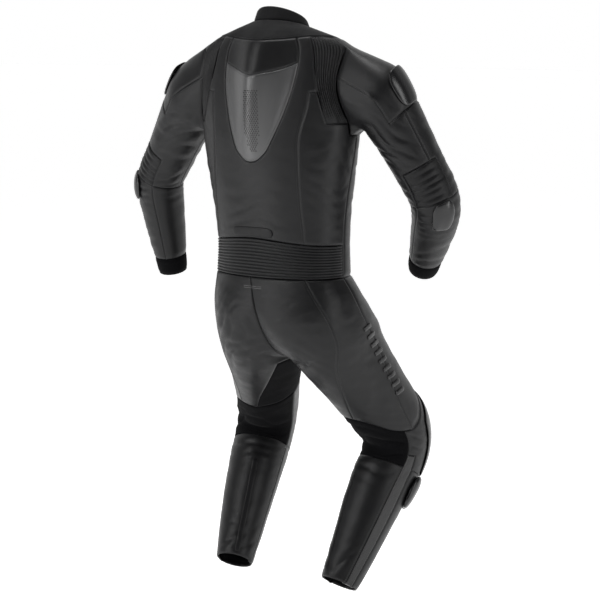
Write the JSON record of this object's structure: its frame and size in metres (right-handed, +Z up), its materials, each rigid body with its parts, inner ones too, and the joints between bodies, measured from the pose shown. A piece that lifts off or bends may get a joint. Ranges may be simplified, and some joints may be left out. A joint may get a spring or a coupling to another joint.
{
  "type": "motorcycle race suit",
  "caption": "One-piece leather race suit, filled as if worn, with knees and elbows bent; open at neck, cuffs and hems, with an aerodynamic hump, pleats and a front zip",
  "frame": {"origin": "middle of the shoulders, below the collar, where the wearer carries the suit", "axes": "+Z up, front towards -Y, the wearer's left towards +X"},
  "size_m": [0.8735, 0.4809, 1.3834],
  "materials": {
    "leather": "smooth black leather, half matt",
    "stretch": "matt black stretch cloth",
    "ribbed": "pleated black leather",
    "hard": "glossy black plastic",
    "metal": "brushed zip slider"
  },
  "bodies": {
    "suit": {"back_panel": "leather", "calf_back_left": "leather", "calf_back_right": "leather", "calf_strip_left": "leather", "calf_strip_right": "leather", "collar": "leather", "cuff_left": "stretch", "cuff_right": "stretch", "elbow_pleats_left": "ribbed", "elbow_pleats_right": "ribbed", "elbow_slider_left": "hard", "elbow_slider_right": "hard", "forearm_inner_left": "leather", "forearm_inner_right": "leather", "forearm_outer_left": "leather", "forearm_outer_right": "leather", "front_left": "leather", "front_right": "leather", "hump_cap": "leather", "hump_shell": "leather", "inner_stretch_left": "stretch", "inner_stretch_right": "stretch", "knee_back_left": "stretch", "knee_back_right": "stretch", "knee_cup_left": "hard", "knee_cup_right": "hard", "knee_front_left": "leather", "knee_front_right": "leather", "knee_slider_left": "hard", "knee_slider_right": "hard", "seat_left": "leather", "seat_right": "leather", "shin_front_left": "leather", "shin_front_right": "leather", "shoulder_cup_left": "hard", "shoulder_cup_right": "hard", "shoulder_left": "leather", "shoulder_pleats_left": "ribbed", "shoulder_pleats_right": "ribbed", "shoulder_right": "leather", "side_back_left": "leather", "side_back_right": "leather", "sleeve_back_left": "leather", "sleeve_back_right": "leather", "sleeve_front_left": "leather", "sleeve_front_right": "leather", "sleeve_outer_left": "leather", "sleeve_outer_right": "leather", "thigh_front_left": "leather", "thigh_front_right": "leather", "thigh_outer_left": "leather", "thigh_outer_right": "leather", "waist_pad": "ribbed", "waist_pleats": "ribbed", "yoke": "leather", "zip_slider": "metal", "zip_tape": "stretch"},
    "pull_tab": {"zip_pull": "hard"}
  },
  "joints": [
    {"name": "pull_tab_swing", "type": "hinge", "parent": "suit", "child": "pull_tab", "pos_m": [0.00663, -0.07901, -0.04134], "axis": [-0.9954, -0.0945, -0.0185], "range_deg": [0, 160]}
  ]
}
